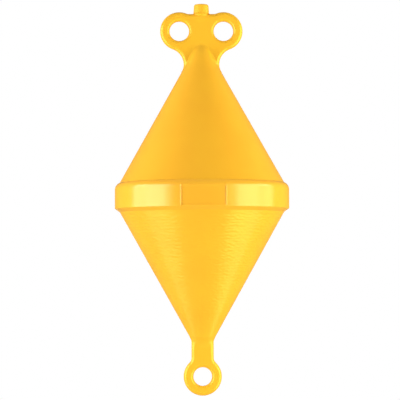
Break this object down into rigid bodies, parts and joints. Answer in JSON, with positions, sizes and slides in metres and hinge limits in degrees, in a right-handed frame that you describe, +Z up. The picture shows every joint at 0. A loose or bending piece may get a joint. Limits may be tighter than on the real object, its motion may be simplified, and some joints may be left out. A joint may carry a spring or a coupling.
{
  "type": "mooring buoy",
  "caption": "Bi-conical moulded plastic mooring buoy: hollow cones joined by a raised belt, a flat upper lug with side-by-side eyes and a plug, and a necked lower eye.",
  "frame": {"origin": "on the buoy's axis, halfway up its belt, which is where it floats", "axes": "+Z up along the buoy's axis, +X across the upper eyes, +Y along the holes of the eyes, away from the front"},
  "size_m": [0.32, 0.32, 0.7184],
  "materials": {
    "cone_plastic": "yellow moulded polyethylene with a fine embossed grain, semi-gloss",
    "smooth_plastic": "yellow moulded polyethylene, smooth and glossy",
    "plug_plastic": "yellow polyethylene plug, smooth and glossy"
  },
  "bodies": {
    "root": {"upper_cone": "cone_plastic", "belt": "smooth_plastic", "lower_cone": "cone_plastic", "top_web": "smooth_plastic", "upper_left_eye": "smooth_plastic", "upper_right_eye": "smooth_plastic", "top_plug": "plug_plastic", "bottom_neck": "smooth_plastic", "bottom_eye": "smooth_plastic"}
  },
  "joints": []
}
